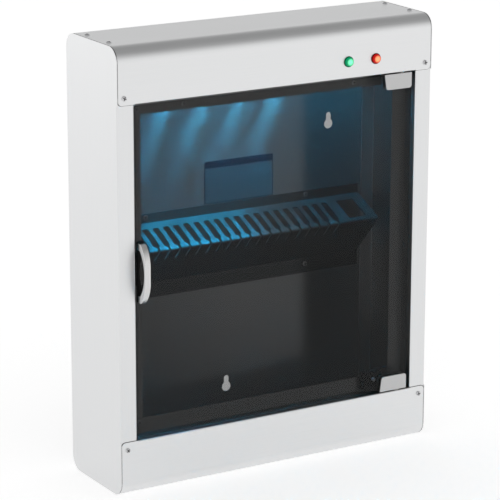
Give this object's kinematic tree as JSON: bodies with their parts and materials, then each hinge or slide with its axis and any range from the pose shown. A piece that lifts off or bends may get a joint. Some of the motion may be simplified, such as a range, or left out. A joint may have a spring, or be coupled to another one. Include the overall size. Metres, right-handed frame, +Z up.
{
  "type": "knife sterilizer cabinet",
  "caption": "Steel knife sterilizer cabinet with a hinged dark glass door, bow handle, slotted knife rack, lamp compartment and push buttons.",
  "frame": {"origin": "centre of the flat bottom face", "axes": "+Z up, -Y out of the glass door, +X to the right seen from the front"},
  "size_m": [0.489, 0.1605, 0.6068],
  "materials": {
    "panel_steel": "fine brushed, satin",
    "inner_steel": "brushed, glossy",
    "rack_steel": "fine brushed",
    "tray_steel": "satin",
    "screw_steel": "satin",
    "door_glass": "tinted, polished",
    "lamp_glass": "clear",
    "hinge_metal": "satin",
    "handle_metal": "satin",
    "black_plastic": "fine matte",
    "gasket": "matte",
    "bush_plastic": "matte",
    "magnet": "dark",
    "card": "satin, bare",
    "white_plastic": "satin",
    "cap_metal": "satin",
    "pin_brass": "satin",
    "ballast_paint": "satin",
    "green_bezel": "glossy",
    "green_cap": "glossy, lit from behind",
    "red_bezel": "glossy",
    "red_cap": "glossy, lit from behind",
    "nut_metal": "satin",
    "lead_insulation": "matte"
  },
  "bodies": {
    "cabinet": {"side_panel_left": "panel_steel", "side_panel_right": "panel_steel", "top_cover": "panel_steel", "bottom_cover": "panel_steel", "back_panel": "inner_steel", "label_card": "card", "knife_rack": "rack_steel", "rack_screws": "screw_steel", "cover_screws": "screw_steel", "stop_screws": "screw_steel", "lamp_guard": "inner_steel", "gear_tray": "tray_steel", "lamp_sockets": "white_plastic", "lamp_tube": "lamp_glass", "tube_caps": "cap_metal", "tube_pins": "pin_brass", "ballast": "ballast_paint", "ballast_screws": "screw_steel", "starter": "white_plastic", "starter_holder": "white_plastic", "terminal_block": "white_plastic", "cord_bush": "black_plastic", "hinge_bushes": "bush_plastic", "catch_body": "black_plastic", "catch_magnet": "magnet", "door_switch": "black_plastic", "green_button_bezel": "green_bezel", "green_button_nut": "nut_metal", "green_button_switch": "black_plastic", "red_button_bezel": "red_bezel", "red_button_nut": "nut_metal", "red_button_switch": "black_plastic", "button_leads": "lead_insulation", "ballast_leads": "lead_insulation", "lamp_leads": "lead_insulation", "door_switch_lead": "lead_insulation"},
    "door": {"door_glass": "door_glass", "hinge_clamp_top": "hinge_metal", "hinge_clamp_bottom": "hinge_metal", "clamp_gaskets": "gasket", "clamp_set_screws": "screw_steel", "handle_bow": "handle_metal", "handle_base": "black_plastic", "strike_plate": "screw_steel"},
    "green_button": {"green_button_cap": "green_cap"},
    "red_button": {"red_button_cap": "red_cap"},
    "door_plunger": {"door_switch_plunger": "white_plastic"}
  },
  "joints": [
    {"name": "door_hinge", "type": "hinge", "parent": "cabinet", "child": "door", "pos_m": [0.1965, -0.0645, 0.303], "axis": [0, 0, 1], "range_deg": [0, 120]},
    {"name": "green_button_press", "type": "slide", "parent": "cabinet", "child": "green_button", "axis": [0, 1, 0], "range_m": [0, 0.0025], "stiffness_N_per_m": 300, "springref_m": -0.002},
    {"name": "red_button_press", "type": "slide", "parent": "cabinet", "child": "red_button", "axis": [0, 1, 0], "range_m": [0, 0.0025], "stiffness_N_per_m": 300, "springref_m": -0.002},
    {"name": "door_plunger_press", "type": "slide", "parent": "cabinet", "child": "door_plunger", "axis": [0, 1, 0], "range_m": [0, 0.002], "stiffness_N_per_m": 200, "springref_m": -0.001}
  ]
}
